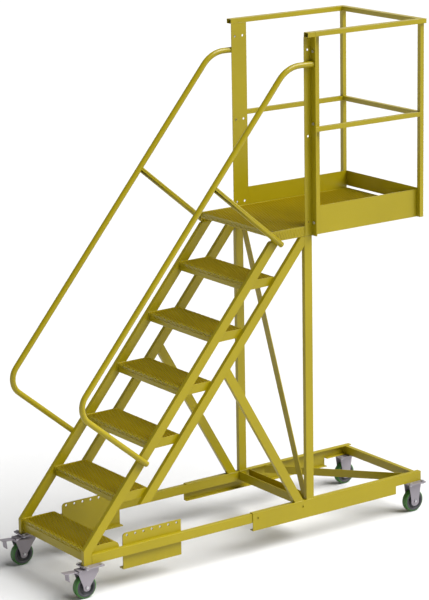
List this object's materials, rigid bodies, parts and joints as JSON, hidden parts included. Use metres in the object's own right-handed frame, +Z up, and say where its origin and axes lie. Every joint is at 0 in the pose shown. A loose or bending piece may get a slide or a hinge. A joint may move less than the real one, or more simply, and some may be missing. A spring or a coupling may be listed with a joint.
{
  "type": "mobile ladder stand",
  "caption": "Steel mobile ladder stand with mesh treads, a cantilevered guarded platform, side hand rails and a long wheeled base with swivel and fixed casters.",
  "frame": {"origin": "on the floor under the middle of the bounding box", "axes": "+Z up, +Y the way the climber faces, from the swivel casters towards the platform and the fixed casters, +X to the climber's right"},
  "size_m": [0.7374, 2.4233, 2.84],
  "materials": {
    "frame_yellow": "semi-gloss powder coat",
    "caster_zinc": "zinc plated",
    "fastener_zinc": "zinc plated",
    "tyre_green": "satin polyurethane",
    "wheel_core": "moulded"
  },
  "bodies": {
    "stand": {"axle_rear_l": "fastener_zinc", "axle_rear_r": "fastener_zinc", "base_channel_l": "frame_yellow", "base_channel_r": "frame_yellow", "base_diagonal": "frame_yellow", "caster_pads": "caster_zinc", "counterweight_plate_l": "frame_yellow", "counterweight_plate_r": "frame_yellow", "cross_brace": "frame_yellow", "cross_channel": "frame_yellow", "frame_bolts": "fastener_zinc", "front_caster_plate_l": "caster_zinc", "front_caster_plate_r": "caster_zinc", "front_stringer_l": "frame_yellow", "front_stringer_r": "frame_yellow", "guard_post_l": "frame_yellow", "guard_post_r": "frame_yellow", "handrail_l": "frame_yellow", "handrail_post_l": "frame_yellow", "handrail_post_r": "frame_yellow", "handrail_r": "frame_yellow", "handrail_struts": "frame_yellow", "lower_rail_l": "frame_yellow", "lower_rail_r": "frame_yellow", "mid_rails": "frame_yellow", "platform_deck": "frame_yellow", "platform_frame": "frame_yellow", "rear_beam": "frame_yellow", "rear_fork_l": "caster_zinc", "rear_fork_r": "caster_zinc", "rear_guard_post_l": "frame_yellow", "rear_guard_post_r": "frame_yellow", "rear_stringer_l": "frame_yellow", "rear_stringer_r": "frame_yellow", "side_brace_l": "frame_yellow", "side_brace_r": "frame_yellow", "toeboards": "frame_yellow", "top_rail": "frame_yellow", "tread_1": "frame_yellow", "tread_2": "frame_yellow", "tread_3": "frame_yellow", "tread_4": "frame_yellow", "tread_5": "frame_yellow", "tread_6": "frame_yellow", "upright_l": "frame_yellow", "upright_r": "frame_yellow"},
    "front_fork_r": {"front_fork_r": "caster_zinc", "axle_front_r": "fastener_zinc"},
    "brake_pedal_r": {"brake_pedal_r": "caster_zinc"},
    "front_wheel_r": {"wheel_core_front_r": "wheel_core", "tyre_front_r": "tyre_green"},
    "rear_wheel_r": {"wheel_core_rear_r": "wheel_core", "tyre_rear_r": "tyre_green"},
    "front_fork_l": {"front_fork_l": "caster_zinc", "axle_front_l": "fastener_zinc"},
    "brake_pedal_l": {"brake_pedal_l": "caster_zinc"},
    "front_wheel_l": {"wheel_core_front_l": "wheel_core", "tyre_front_l": "tyre_green"},
    "rear_wheel_l": {"wheel_core_rear_l": "wheel_core", "tyre_rear_l": "tyre_green"}
  },
  "joints": [
    {"name": "caster_swivel_r", "type": "hinge", "parent": "stand", "child": "front_fork_r", "pos_m": [0.3177, -1.03839, 0.165], "axis": [0, 0, 1], "continuous": true},
    {"name": "front_wheel_spin_r", "type": "hinge", "parent": "front_fork_r", "child": "front_wheel_r", "pos_m": [0.3177, -1.07939, 0.0635], "axis": [1, 0, 0], "continuous": true},
    {"name": "rear_wheel_spin_r", "type": "hinge", "parent": "stand", "child": "rear_wheel_r", "pos_m": [0.3177, 1.15139, 0.0635], "axis": [1, 0, 0], "continuous": true},
    {"name": "brake_pedal_hinge_r", "type": "hinge", "parent": "front_fork_r", "child": "brake_pedal_r", "pos_m": [0.3177, -1.11139, 0.1446], "axis": [1, 0, 0], "range_deg": [0, 12]},
    {"name": "caster_swivel_l", "type": "hinge", "parent": "stand", "child": "front_fork_l", "pos_m": [-0.3177, -1.03839, 0.165], "axis": [0, 0, 1], "continuous": true},
    {"name": "front_wheel_spin_l", "type": "hinge", "parent": "front_fork_l", "child": "front_wheel_l", "pos_m": [-0.3177, -1.07939, 0.0635], "axis": [1, 0, 0], "continuous": true},
    {"name": "rear_wheel_spin_l", "type": "hinge", "parent": "stand", "child": "rear_wheel_l", "pos_m": [-0.3177, 1.15139, 0.0635], "axis": [1, 0, 0], "continuous": true},
    {"name": "brake_pedal_hinge_l", "type": "hinge", "parent": "front_fork_l", "child": "brake_pedal_l", "pos_m": [-0.3177, -1.11139, 0.1446], "axis": [1, 0, 0], "range_deg": [0, 12]}
  ]
}
